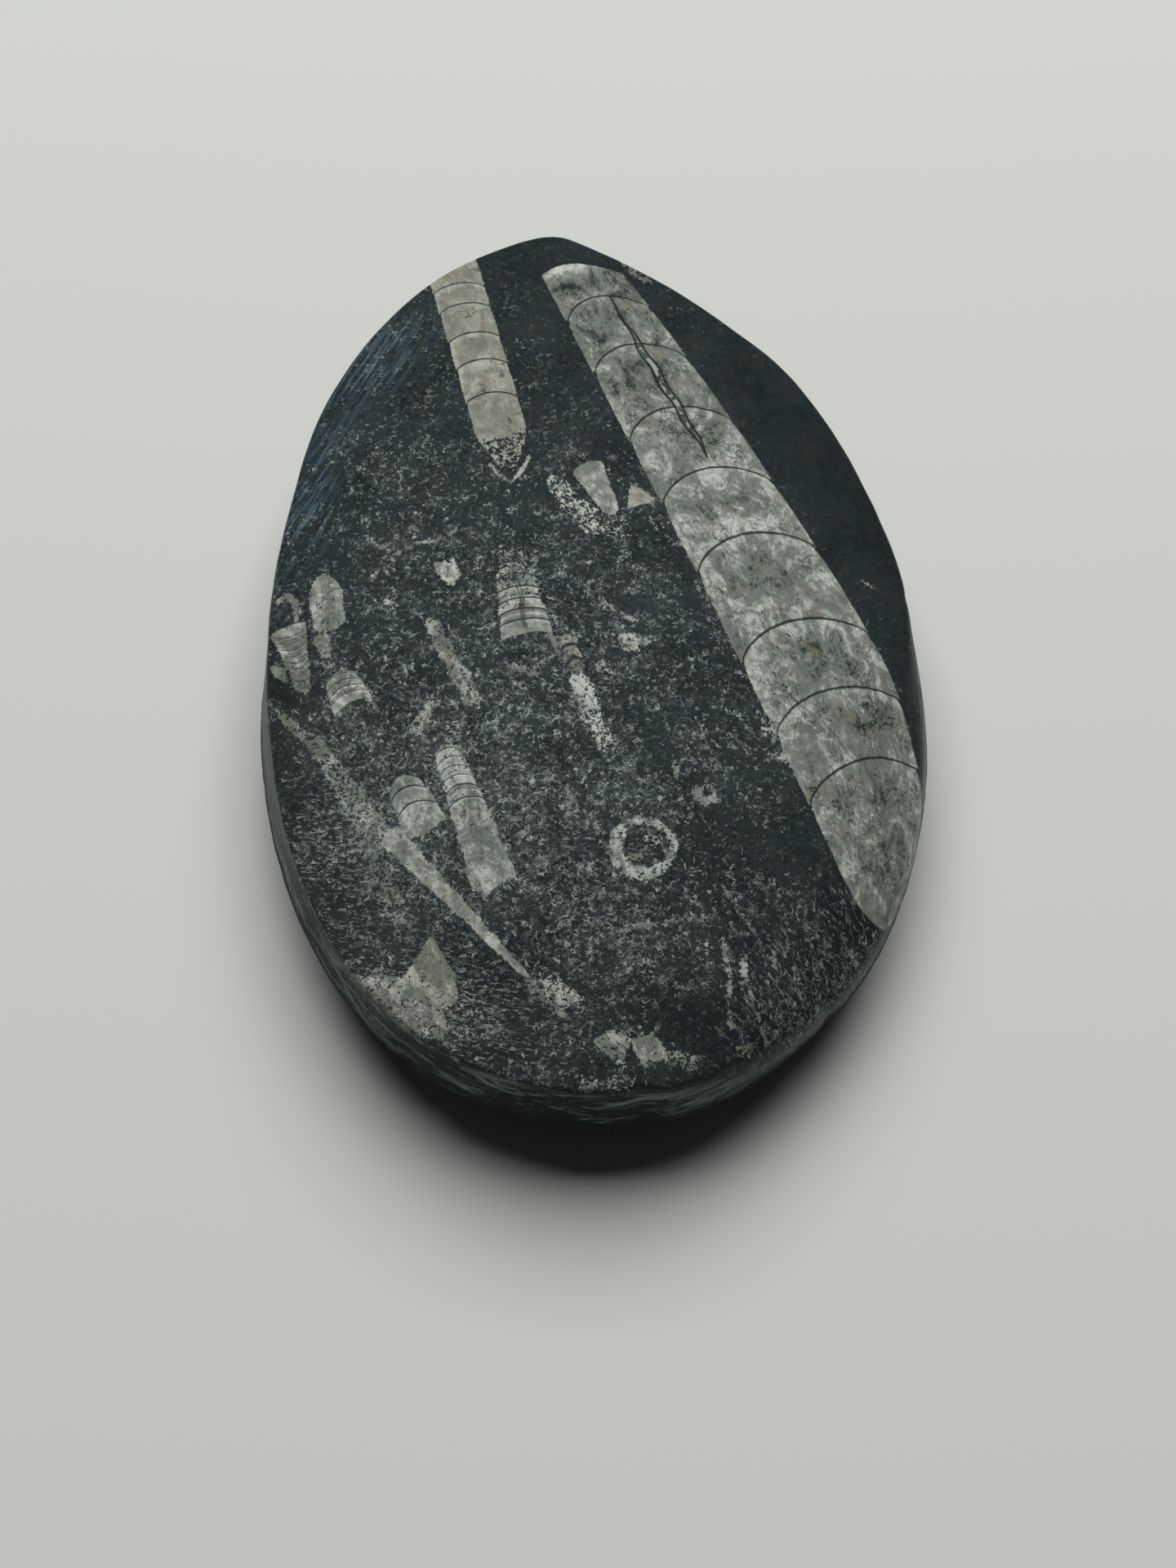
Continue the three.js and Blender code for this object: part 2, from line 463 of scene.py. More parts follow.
FRAGMENTS = [
    # scraps near the middle
    Fragment(((4.2, 16.8), (7.2, 14.5), (3.8, 13.2)), 0.5, 0.5, 0.3),
    Fragment(((-17.6, 6.3), (-15.4, 7.0), (-14.5, 5.0), (-15.2, 3.2), (-16.8, 4.3)), 0.6, 0.1, 0.5),
    Fragment(((2.7, -2.9), (3.9, -2.6), (6.3, -3.6), (5.2, -4.6), (3.0, -4.6)), 0.6, 0.0, 0.65),
    Fragment(((-22.9, 2.3), (-22.0, 2.4), (-21.8, 1.5), (-22.8, 1.5)), 0.7, 0.0, 0.6),
    Fragment(((0.2, -6.2), (1.2, -6.0), (1.6, -7.2), (0.4, -7.4)), 0.5, 0.0, 0.8),
    # the banded shell's pointed corner
    Fragment(((-14.2, -25.6), (-9.4, -30.8), (-11.2, -33.0)), 0.6, 0.0, 0.25),
    # below the ring
    Fragment(((17.9, -12.4), (19.2, -12.8), (18.9, -14.6), (18.0, -14.2)), 0.6, 0.0, 0.9),
    Fragment(((19.2, -16.0), (20.3, -16.4), (20.2, -17.4), (19.3, -17.2)), 0.6, 0.0, 0.9),
    Fragment(((5.2, -25.6), (7.2, -26.2), (7.4, -27.6), (5.4, -27.0)), 0.5, 0.1, 0.85),
    Fragment(((3.4, -28.0), (5.2, -27.6), (4.6, -29.6)), 0.42, 0.5, 0.7),
    # towards the near rim
    Fragment(((-6.0, -41.6), (-3.8, -40.9), (-1.0, -43.3), (-3.4, -44.4)), 0.6, 0.2, 0.75),
    Fragment(((0.0, -47.8), (1.5, -46.6), (3.8, -47.2), (2.7, -50.0)), 0.55, 0.3, 0.5),
    Fragment(((3.9, -47.4), (5.9, -46.7), (7.9, -49.0), (5.9, -49.6)), 0.5, 0.4, 0.35),
    Fragment(((3.9, -47.6), (5.6, -48.0), (5.2, -50.9)), 0.6, 0.2, 0.5),
    Fragment(((7.3, -48.2), (10.8, -49.0), (10.4, -50.2), (7.6, -49.9)), 0.35, 0.6, 0.9),
    Fragment(((-1.2, -51.2), (3.6, -50.9), (3.6, -52.2), (-1.0, -52.4)), 0.5, 0.3, 0.95),
    Fragment(((14.4, -47.4), (15.8, -47.2), (15.8, -48.6), (14.6, -48.6)), 0.5, 0.1, 0.8),
    # the broad pale patch at the lower left
    Fragment(
        ((-16.6, -36.4), (-14.2, -40.6), (-13.4, -44.0), (-17.0, -45.0), (-19.6, -41.0)),
        tone=0.52,
        warmth=0.5,
        speckle=0.4,
    ),
    Fragment(
        ((-19.6, -40.8), (-14.6, -42.2), (-14.0, -47.4), (-22.2, -45.2), (-27.2, -39.9)),
        tone=0.54,
        warmth=0.4,
        speckle=0.6,
    ),
    Fragment(
        ((-30.8, -34.8), (-26.0, -39.8), (-19.6, -45.0), (-23.6, -44.2), (-29.2, -38.2)),
        tone=0.66,
        warmth=0.3,
        speckle=0.7,
    ),
    Fragment(((-17.2, -41.0), (-12.2, -44.0), (-9.0, -47.0), (-15.0, -47.6)), 0.5, 0.5, 1.15),
    # a grey scrap by the pointed end
    Fragment(((3.4, 50.2), (6.6, 48.4), (7.6, 46.4), (5.0, 47.6)), 0.3, 0.2, 0.75),
    # a flat scrap by the dark wedge at the left rim
    Fragment(((-35.4, -4.4), (-33.7, -5.0), (-32.8, -7.4), (-34.6, -6.0)), 0.4, 0.1, 0.15),
]


class Vein(NamedTuple):
    """A thin filled crack or the edge of a shell, along a line of points."""

    points: tuple
    half_width: float
    tone: float
    speckle: float


VEINS = [
    Vein(((-6.8, -41.0), (-4.6, -43.4), (-3.0, -45.0)), 0.22, 0.5, 0.5),
    Vein(((13.8, -32.0), (15.2, -34.2), (17.4, -37.6)), 0.2, 0.5, 0.6),
    Vein(((13.2, -37.4), (13.9, -41.1), (13.8, -45.2), (14.5, -46.0)), 0.24, 0.45, 0.6),
    Vein(((15.3, -38.9), (15.3, -40.6)), 0.3, 0.55, 0.6),
    Vein(((15.3, -40.3), (16.0, -42.5), (16.6, -44.5), (17.6, -46.9)), 0.2, 0.45, 0.6),
    Vein(((2.6, -36.4), (6.7, -35.5), (12.0, -34.5)), 0.14, 0.3, 0.3),
    Vein(((29.0, 5.9), (31.8, 4.4)), 0.16, 0.5, 0.6),
    Vein(((-24.5, 5.1), (-22.2, 7.9), (-19.4, 9.3), (-16.8, 9.6)), 0.22, 0.45, 0.7),
    Vein(((-24.0, 8.4), (-19.8, 11.4), (-17.6, 15.0)), 0.2, 0.36, 0.9),
    Vein(((-2.6, -20.8), (-2.5, -22.6), (-2.7, -24.9)), 0.32, 0.5, 0.8),
    Vein(((8.6, -17.6), (8.7, -20.7)), 0.2, 0.4, 0.6),
    Vein(((-11.6, 19.4), (-10.6, 18.0), (-9.1, 16.8), (-8.0, 18.2), (-7.2, 20.2)), 0.24, 0.72, 0.25),
    Vein(((-5.0, -2.2), (-4.2, -3.8), (-3.7, -5.4)), 0.2, 0.45, 0.2),
    Vein(((-9.0, -6.6), (-7.6, -7.0), (-6.2, -7.6)), 0.3, 0.5, 0.7),
    Vein(((1.2, 1.4), (2.9, -0.3), (4.4, -1.1)), 0.24, 0.4, 0.6),
    Vein(((-34.4, -10.0), (-31.9, -12.1), (-29.3, -14.4), (-26.9, -18.6), (-24.3, -22.8)), 0.22, 0.55, 0.6),
    Vein(((-34.9, 3.4), (-33.8, 4.2), (-32.9, 3.0), (-32.6, 0.6)), 0.3, 0.5, 0.35),
    Vein(((6.2, -41.2), (9.4, -41.8), (11.7, -41.4)), 0.5, 0.3, 1.05),
    Vein(((2.0, -36.8), (3.6, -38.2), (5.2, -41.0)), 0.4, 0.3, 1.0),
]


class Ring(NamedTuple):
    """A shell cut straight across."""

    centre: tuple
    radii: tuple
    half_width: float
    tone: float
    speckle: float


RING_FOSSILS = [
    Ring((5.3, -27.3), (3.0, 2.9), 0.52, 0.62, 0.62),
    Ring((11.8, -21.3), (0.95, 0.8), 0.3, 0.5, 0.6),
    Ring((12.7, -17.9), (0.55, 0.6), 0.25, 0.4, 0.7),
]
RING_LEAN = 0.3  # how much a ring's thickness changes towards the upper right

WALL_REACH = 1.4  # in half widths, how far out from the axis a wall's arc carries on
WALL_DROOP = 0.4  # share of the bow by which its parabola may fall behind outside the flanks
ELLIPSE_SHARE = 0.65  # how much of a wall's bow is an ellipse, and the rest a parabola
SHOULDER_REACH = 0.9  # how far past a wall its flank is back at full width
FRAYED = 0.95  # speckle where an end has dissolved
FRAY_FULL = 0.6  # share of the frayed length where it has dissolved fully
PLAIN_CRISP = 0.8  # contrast of the crystals in pieces without chambers
UNDER_HEIGHT = 8.0  # the pieces stop here, just under the girdle


def lengthwise(values, share):
    """A value that changes evenly from the shell's start to its end."""
    return values[0] + (values[1] - values[0]) * share


def shell_fields(shell, mm):
    """A shell's outline, chambers, tone and speckle at the points.

    The outline is the distance from the cone's surface, negative inside, cut off by a rounded
    end at each end. The start can be slanted too. Chambers are counted along the axis, with the
    count carried back at the middle by the bow, partly as a parabola and partly as an ellipse,
    and forward at the right by the skew, so that its whole numbers are the walls' arcs. Just
    after a wall the flank steps in."""
    start = np.array([*shell.start, shell.axis_height])
    axis = np.array([shell.end[0] - shell.start[0], shell.end[1] - shell.start[1], 0.0])
    length = np.linalg.norm(axis)
    axis /= length
    right = np.array([-axis[1], axis[0], 0.0]) * (-1 if axis[1] > 0 else 1)
    off = mm - start
    along = off @ axis
    across = off @ right
    share = np.clip(along / length, 0, 1)
    half = lengthwise(shell.half_width, share)
    a = np.clip(across / half, -WALL_REACH, WALL_REACH)
    dome = np.clip(1 - a**2, -WALL_DROOP, 1)
    bulge = (1 - ELLIPSE_SHARE) * dome + ELLIPSE_SHARE * np.sqrt(np.clip(dome, 0, 1))
    arc = along + shell.bow * bulge - shell.skew * a
    if shell.walls:
        walls = np.array(shell.walls)
        pace = np.diff(walls).mean()
        knots = np.concatenate([[walls[0] - pace / 2], walls, [walls[-1] + pace / 2]])
        counts = np.concatenate([[-0.5], np.arange(len(walls)), [len(walls) - 0.5]])
        chamber = np.interp(arc, knots, counts)
        wall = shell.wall_width / 2 / pace
        past_wall = (chamber - np.floor(chamber)) * pace
        half = half - shell.shoulder * np.exp(-past_wall / SHOULDER_REACH) * (chamber > 0)
    else:
        chamber = 0.5 + 0 * arc
        wall = 0
    # Above its axis a cone is cut at its full width, and below it the cut narrows.
    below = np.minimum(off[:, 2], 0)
    flank = np.hypot(across, below) - half
    first = -along + shell.round_ends[0] * a**2 + shell.slant * a
    last = along - length + shell.round_ends[1] * a**2
    outline = np.maximum(flank, np.maximum(first, last))
    speckle = np.clip(lengthwise(shell.speckle, share), 0, None)
    if shell.frayed:
        speckle = speckle + FRAYED * smooth(length - shell.frayed, length - FRAY_FULL * shell.frayed, along)
    return {
        "outline": outline,
        "chamber": chamber,
        "tone": lengthwise(shell.tone, share),
        "speckle": speckle,
        "warmth": shell.warmth + 0 * arc,
        "wall": wall + 0 * arc,
        "crisp": shell.crisp + 0 * arc,
        "across": across,
        "along": along,
    }


def plain_fields(outline, tone, speckle, warmth):
    """Fields of a piece without chambers."""
    nothing = 0 * outline
    return {
        "outline": outline,
        "chamber": nothing + 0.5,
        "tone": nothing + tone,
        "speckle": nothing + speckle,
        "warmth": nothing + warmth,
        "wall": nothing,
        "crisp": nothing + PLAIN_CRISP,
    }


def fragment_fields(fragment, mm):
    """A broken piece's outline: the farthest distance outside any of its sides."""
    corners = np.array(fragment.corners)
    middle = corners.mean(axis=0)
    outline = np.full(len(mm), -np.inf)
    for here, there in zip(corners, np.roll(corners, -1, axis=0)):
        edge = (there - here) / np.linalg.norm(there - here)
        outward = np.array([edge[1], -edge[0]])
        outward *= np.sign(outward @ (here - middle))
        outline = np.maximum(outline, (mm[:, :2] - here) @ outward)
    return plain_fields(outline, fragment.tone, fragment.speckle, fragment.warmth)


def vein_fields(vein, mm):
    """The distance from a line of points, less half the vein's width."""
    outline = np.full(len(mm), np.inf)
    points = np.array(vein.points)
    for here, there in zip(points[:-1], points[1:]):
        run = there - here
        share = np.clip((mm[:, :2] - here) @ run / (run @ run), 0, 1)
        away = mm[:, :2] - here - share[:, None] * run
        outline = np.minimum(outline, np.hypot(away[:, 0], away[:, 1]))
    return plain_fields(outline - vein.half_width, vein.tone, vein.speckle, 0.0)


def ring_fields(ring, mm):
    """The distance from an ellipse's line, which is thicker at the lower left."""
    away = (mm[:, :2] - ring.centre) / ring.radii
    thick = ring.half_width * (1 - RING_LEAN * (away[:, 0] + away[:, 1]))
    outline = np.abs(np.hypot(away[:, 0], away[:, 1]) - 1) * min(ring.radii) - thick
    return plain_fields(outline, ring.tone, ring.speckle, 0.0)


def nearest_fields(mm):
    """At each point, the fields of the piece whose outline is nearest or holds the point."""
    pieces = [shell_fields(s, mm) for s in SHELLS]
    pieces += [fragment_fields(f, mm) for f in FRAGMENTS]
    pieces += [vein_fields(v, mm) for v in VEINS]
    pieces += [ring_fields(r, mm) for r in RING_FOSSILS]
    nearest = np.argmin([p["outline"] for p in pieces], axis=0)
    pick = (nearest, np.arange(len(mm)))
    fields = {name: np.array([p[name] for p in pieces])[pick] for name in pieces[-1]}
    fields["outline"] = np.maximum(fields["outline"], UNDER_HEIGHT - mm[:, 2])
    return fields


class Tube(NamedTuple):
    """The tube that ran through a shell's chambers, cut open with them."""

    shell: Shell
    middle: float  # where it lies across the shell
    darkness: float
    stations: tuple  # distances from the shell's start
    half_widths: tuple  # at the stations


TUBES = [
    Tube(
        LARGE_SHELL,
        middle=1.2,
        darkness=1,
        stations=(6.2, 9.2, 12.2, 15.0, 19.2, 27.2, 32.8),
        half_widths=(0.02, 0.05, 0.15, 0.4, 0.5, 0.42, 0.0),
    ),
    Tube(
        SPLIT_SHELL,
        middle=0.1,
        darkness=0.55,
        stations=(3.0, 6.0, 11.2),
        half_widths=(0.1, 0.2, 0.12),
    ),
]
TUBE_SWAY = 0.14  # how far a tube wanders to each side
TUBE_TURN = 1.1  # radians of its wandering in a millimetre
TUBE_FADES = (0.5, 0.4)  # how far before and after its first and last station it fades
TUBE_MARGIN = 1.0  # how far outside its shell's outline it is still worked out
FAR = 9.0  # well outside any tube


def tube_fields(mm):
    """Signed distances from the left and right lines of the nearest tube, and where it shows.

    The tube's middle is a sine wave about a line along the shell, and its half width is linear
    between its stations."""
    left = np.full(len(mm), FAR)
    right = np.full(len(mm), FAR)
    shown = np.zeros(len(mm))
    for tube in TUBES:
        fields = shell_fields(tube.shell, mm)
        along = fields["along"]
        inside = fields["outline"] < TUBE_MARGIN
        half = np.interp(along, tube.stations, tube.half_widths)
        off = fields["across"] - tube.middle - TUBE_SWAY * np.sin(TUBE_TURN * along)
        left = np.where(inside, off + half, left)
        right = np.where(inside, off - half, right)
        first, last = tube.stations[0], tube.stations[-1]
        starts = smooth(first - TUBE_FADES[0], first + TUBE_FADES[0], along)
        stops = smooth(last - TUBE_FADES[1], last + TUBE_FADES[1], along)
        shown = np.where(inside, starts * (1 - stops) * tube.darkness, shown)
    return left, right, shown


# Soft patches in millimetres: x, y, reach along X, reach along Y, turn in degrees, amount
LEAST_FLECKS = 0.19
FLECK_PATCHES = [
    (-8, -12, 25, 23, 0, 0.46),
    (-2, -31, 20, 14, 0, 0.4),
    (-22, -18, 12, 12, 0, 0.3),
    (2, 8, 14, 12, 0, 0.15),
    (28, -40, 10, 9, 0, 0.5),
    (0, -38, 8, 6, 0, 0.2),
    (-22, 20, 12, 15, 0, 0.16),
    (-26, -32, 9, 11, 0, 0.42),
    (-8, -48, 22, 5, 0, 0.25),
    (20, -33, 4, 3, 0, 0.3),
]
BROWN_PATCHES = [
    (-24.5, -33.5, 6, 4.5, -35, 1.0),
    (-13, -45, 9, 3, -15, 0.5),
    (-32, -12, 3, 3.5, 0, 0.7),
    (2, -42, 9, 6, 20, 0.3),
    (5.3, -27.3, 2.4, 2.2, 0, 0.6),
]
DARK_PATCHES = [
    (10.5, -45.5, 5, 3.5, -20, 0.8),
    (-34.2, -6.4, 2.4, 1.1, -35, 1.3),
    (-33.6, -8.6, 2.4, 0.5, -30, 1.2),
    (-34.0, -20, 3, 8, 5, 0.6),
    (-27.0, -31.5, 5, 3.5, -35, 0.8),
    (5.3, -27.3, 2.4, 2.2, 0, 0.5),
    (-8.0, -5.2, 1.6, 0.8, 0, 0.8),
    (15, -26, 8, 5, 0, 0.5),
    (27, 20, 9, 26, 28, 1.0),
    (2, 40, 8, 12, 0, 0.4),
    (-8, 50, 12, 5, 0, 0.4),
    (30, -34, 9, 11, 0, 1.2),
]
LONG_FLECK_PATCHES = [(-27, -27, 11, 10, 0, 1.0), (-14, -44, 16, 6, -15, 1.1)]
SLANT_FLECK_PATCHES = [(28, -37, 9, 11, -35, 0.85), (20, -44, 10, 5, 20, 0.9), (22, -38, 12, 9, 0, 0.4)]
# Grinding marks by the upper left rim, which also carry a painted bluish sheen
SCRATCH_AND_SHEEN_PATCHES = [(-25.5, 35.0, 3.4, 7, -38, 1.0), (-31.8, 16, 2.6, 10, -12, 0.9)]
# Lighter and darker clouds in the calcite
TONE_STRENGTH = 0.6
TONE_PATCHES = [
    (-3.4, 48.7, 2.4, 1.1, 10, 1.0),
    (-2.5, 45.6, 2.2, 0.9, 5, -0.85),
    (3.6, 46.4, 2.6, 2.4, 0, -0.5),
    (-0.3, 42.3, 1.6, 1.2, 0, -0.16),
    (0.9, 36.0, 1.5, 2.0, 0, -0.2),
    (3.6, 30.0, 1.4, 1.4, 0, -0.18),
    (7.2, 42.0, 2.0, 1.0, 0, -0.12),
    (9.8, 30.6, 1.6, 1.6, 0, 0.16),
    (6.5, 24.0, 1.8, 1.6, 0, -0.12),
    (-13.4, 37.2, 1.9, 0.9, 0, -0.34),
    (15.1, 15.0, 2.0, 1.2, 0, -0.2),
    (12.7, 13.0, 1.6, 1.4, 0, -0.24),
    (17.0, 1.6, 2.2, 1.4, 0, 0.16),
    (14.0, 14.8, 1.2, 1.8, 0, 0.12),
    (18.0, 5.0, 2.2, 1.6, 0, -0.24),
    (22.4, 6.1, 1.7, 1.7, 0, -0.2),
    (25.4, 6.2, 1.4, 1.2, 0, 0.2),
    (25.0, -4.2, 3.0, 2.0, -20, -0.3),
    (24.0, -6.8, 1.4, 1.2, 0, -0.2),
    (32.0, -4.2, 1.2, 1.4, 0, 0.18),
    (30.6, -11.6, 2.4, 1.8, 0, -0.28),
    (23.4, -12.6, 1.3, 1.5, 0, -0.24),
    (27.6, -13.6, 2.0, 1.4, 0, 0.16),
    (33.0, -22.0, 3.0, 5.0, -25, 0.1),
    (16.0, 6.0, 14.0, 15.0, 0, 0.24),
    (6.0, 36.0, 9.0, 9.0, 0, -0.12),
]


def patch_field(patches, mm):
    """Soft oval patches added up: each falls as a bell curve of the distance from its middle."""
    total = np.zeros(len(mm))
    for x, y, reach_x, reach_y, turn, amount in patches:
        c, s = math.cos(math.radians(turn)), math.sin(math.radians(turn))
        dx, dy = mm[:, 0] - x, mm[:, 1] - y
        away = np.hypot((c * dx + s * dy) / reach_x, (c * dy - s * dx) / reach_y)
        total += amount * np.exp(-(away**2))
    return total


def add_field(mesh, name, columns):
    """Three numbers for each vertex, which the material reads under their name."""
    attribute = mesh.attributes.new(name, "FLOAT_VECTOR", "POINT")
    attribute.data.foreach_set("vector", np.stack(columns, axis=1).astype(np.float32).ravel())


def fossil_stone():
    """The whole stone as one closed mesh.

    The upper sheet is a square grid wrapped to the outline, from the middle of the face to the
    girdle. The underside is the same with every second line, and a strip at the girdle joins two
    of its edges to each one of the underside's."""
    fine_x, fine_y = (grid_lines(n, EDGE_LINES) for n in FACE_LINES)
    coarse_x, coarse_y = fine_x[::2], fine_y[::2]
    out, angle = square_to_round(fine_x, fine_y)
    below, below_angle = square_to_round(coarse_x, coarse_y)
    upper_points = to_points(*upper_profile(out, angle), angle)
    lower_points = to_points(*lower_profile(below * LOWER_START, below_angle), below_angle)
    points = np.concatenate([upper_points, lower_points])
    all_out = np.concatenate([out, below])
    all_angle = np.concatenate([angle, below_angle])
    upper = np.arange(len(points)) < len(out)
    points = roughen(points, all_out, upper)

    upper_faces = quads(0, len(fine_x), len(fine_y))
    lower_faces = quads(len(out), len(coarse_x), len(coarse_y))[:, ::-1]
    rim = border(0, len(fine_x), len(fine_y))
    base = border(len(out), len(coarse_x), len(coarse_y))
    step = np.arange(len(base))
    here, half, there = rim[2 * step], rim[2 * step + 1], rim[(2 * step + 2) % len(rim)]
    next_base = np.roll(base, -1)
    strip = np.concatenate(
        [
            np.stack([base, half, here], axis=1),
            np.stack([base, next_base, half], axis=1),
            np.stack([next_base, there, half], axis=1),
        ]
    )
    faces = upper_faces.tolist() + lower_faces.tolist() + strip.tolist()

    mesh = bpy.data.meshes.new("fossil_slab")
    mesh.from_pydata(points.tolist(), [], faces)
    mesh.polygons.foreach_set("use_smooth", [True] * len(mesh.polygons))
    set_unwrap(mesh, np.where(upper, all_out, all_out * LOWER_START), all_angle, len(upper_faces))
    set_rock_fields(mesh, points / MM, all_out, upper)
    slab = bpy.data.objects.new("fossil_slab", mesh)
    bpy.context.scene.collection.objects.link(slab)
    return slab


UNWRAP_GAP = 0.01
UPPER_ROOM = 0.7  # share of the unwrap's width that the upper sheet has
SIDE_ROOM = 7 * MM  # length along the profile that the side is given


def set_unwrap(mesh, out, angle, upper_count):
    """The unwrap has two islands. Each is laid out by its way along the profile, so the side
    gets its own room. The upper one takes most of the square, because the shells are on it."""
    reach = around(RIM_RING, angle)[0] * np.clip(out / FACE_SHARE, 0, 1)
    reach = reach + SIDE_ROOM * np.clip((out - FACE_SHARE) / (1 - FACE_SHARE), 0, 1)
    flat = np.stack([reach * np.cos(angle), reach * np.sin(angle)], axis=1)
    low, high = flat.min(axis=0), flat.max(axis=0)
    flat = (flat - low) / (high - low)
    tall = 1 - 2 * UNWRAP_GAP
    upper_map = flat * (tall - 1 + UPPER_ROOM, tall) + UNWRAP_GAP
    lower_map = flat * (tall - UPPER_ROOM, tall) + (UPPER_ROOM + UNWRAP_GAP, UNWRAP_GAP)
    corner_vertex = np.empty(len(mesh.loops), dtype=int)
    mesh.loops.foreach_get("vertex_index", corner_vertex)
    is_upper = np.arange(len(mesh.loops)) < 4 * upper_count
    layout = np.where(is_upper[:, None], upper_map[corner_vertex], lower_map[corner_vertex])
    layer = mesh.uv_layers.new(name="OFBake")
    layer.data.foreach_set("uv", layout.ravel())


# In degrees round the stone, for the painted shade on its ground side
ROLL_MIDDLE = 42  # clockwise from +X to the middle of the rolled edge
ROLL_FADE = (20, 46)  # away from there, where the shade begins and is full
LEFT_FADE = (25, 62)  # away from -X
LEFT_SHADE = 0.3


def painted_side_shade(mm):
    """How dull the ground side is at each point, and how much painted shade darkens it: less at the left,
    and not at all where the edge is rolled."""
    degrees = np.degrees(np.arctan2(mm[:, 1], mm[:, 0]))
    from_roll = np.abs((degrees + ROLL_MIDDLE + 180) % 360 - 180)
    from_left = 180 - np.abs(degrees)
    return smooth(*ROLL_FADE, from_roll) * (LEFT_SHADE + (1 - LEFT_SHADE) * smooth(*LEFT_FADE, from_left))


def set_rock_fields(mesh, mm, out, upper):
    """Everything that the material reads besides the place itself."""
    piece = nearest_fields(mm)
    polish = np.where(upper, 1 - smooth(*POLISH_FADE, out), 0)
    tone = piece["tone"] + TONE_STRENGTH * patch_field(TONE_PATCHES, mm)
    # Where the side is dull, and how much painted shade darkens its colour
    side = np.where(upper, smooth(*SIDE_FADE, out), 1) * painted_side_shade(mm)
    flecks = LEAST_FLECKS + patch_field(FLECK_PATCHES, mm)
    add_field(mesh, "shell_cut", [piece["outline"], piece["chamber"], tone])
    add_field(mesh, "shell_look", [piece["speckle"], piece["warmth"], piece["wall"]])
    add_field(mesh, "shell_tube", tube_fields(mm))
    add_field(mesh, "bedding", [flecks, patch_field(BROWN_PATCHES, mm), patch_field(DARK_PATCHES, mm)])
    grain = [patch_field(p, mm) for p in (LONG_FLECK_PATCHES, SLANT_FLECK_PATCHES, SCRATCH_AND_SHEEN_PATCHES)]
    add_field(mesh, "bedding_grain_and_sheen", grain)
    add_field(mesh, "finish_and_painted_shade", [polish, piece["crisp"], side])


# ---------------------------------------------------------------- material


def linear(red, green, blue):
    """An 8-bit display colour as linear light."""

    def channel(value):
        value /= 255
        return value / 12.92 if value <= 0.04045 else ((value + 0.055) / 1.055) ** 2.4

    return channel(red), channel(green), channel(blue), 1.0


BLACK_ROCK = linear(30, 38, 39)
GREY_ROCK = linear(42, 51, 52)
BROWN_TINT = linear(50, 48, 46)
BLUE_TINT = linear(36, 43, 55)
MOTTLE = linear(66, 74, 73)
SHELL_DUST = linear(78, 89, 87)
BROWN_BED = linear(58, 59, 54)
DARK_BED = linear(28, 35, 36)
GRINDING_MARK_AND_SHEEN = linear(88, 112, 128)
SHELL_FLECK = linear(172, 184, 178)

# Calcite when dark, middling and pale
GREY_CALCITE = (linear(44, 53, 49), linear(121, 127, 120), linear(198, 203, 195))
CREAM_CALCITE = (linear(58, 60, 52), linear(130, 129, 114), linear(208, 204, 186))
GREEN_CALCITE = linear(98, 120, 104)
TAN_CALCITE = linear(144, 136, 116)
CHAMBER_WALL = linear(34, 39, 37)
TUBE_LINE = linear(32, 38, 35)
TUBE_FILLING = linear(62, 72, 64)
TUBE_BEAD = linear(172, 178, 166)

SIDE_PAINTED_SHADE_COLOUR = linear(8, 12, 13)
PALE_BED = linear(146, 162, 156)
SAWN_DARK = linear(22, 27, 27)
SAWN_LIGHT = linear(40, 45, 44)
PAPER = linear(220, 223, 217)

LAY = -65  # degrees from +X along which the calcite's crystals lie
LONG_LAY = -8  # and the drawn out flecks at the lower left
SLANT_LAY = -58  # and those at the lower right
GRINDING_LAY = 62  # and the grinding marks at the upper left, painted pale and bluish as a sheen
FLAT_CELL = 0.35  # height of a cell of flecks over its breadth


class Field:
    """A number that varies over the surface: a socket of the node tree, with arithmetic."""

    def __init__(self, tree, socket):
        self.tree = tree
        self.socket = socket

    def math(self, operation, *others):
        node = self.tree.nodes.new("ShaderNodeMath")
        node.operation = operation
        for socket, value in zip(node.inputs, (self, *others)):
            plug(self.tree, value, socket)
        return Field(self.tree, node.outputs[0])

    def __add__(self, other):
        return self.math("ADD", other)

    def __sub__(self, other):
        return self.math("SUBTRACT", other)

    def __mul__(self, other):
        return self.math("MULTIPLY", other)

    def __truediv__(self, other):
        return self.math("DIVIDE", other)

    def __rsub__(self, other):
        return (self * -1) + other

    def abs(self):
        return self.math("ABSOLUTE")

    def fraction(self):
        return self.math("FRACT")

    def floor(self):
        return self.math("FLOOR")

    def least(self, other):
        return self.math("MINIMUM", other)

    def most(self, other):
        return self.math("MAXIMUM", other)

    def clamped(self):
        return self.most(0).least(1)

    def ramp(self, low, high, start=0.0, end=1.0):
        """start below low, end above high, and a smooth change between."""
        node = self.tree.nodes.new("ShaderNodeMapRange")
        node.interpolation_type = "SMOOTHSTEP"
        plug(self.tree, self, node.inputs["Value"])
        for name, value in (("From Min", low), ("From Max", high), ("To Min", start), ("To Max", end)):
            plug(self.tree, value, node.inputs[name])
        return Field(self.tree, node.outputs["Result"])


def plug(tree, value, socket):
    """Put a field, a node's output or a plain number into an input."""
    if isinstance(value, Field):
        tree.links.new(value.socket, socket)
    elif isinstance(value, bpy.types.NodeSocket):
        tree.links.new(value, socket)
    else:
        socket.default_value = value


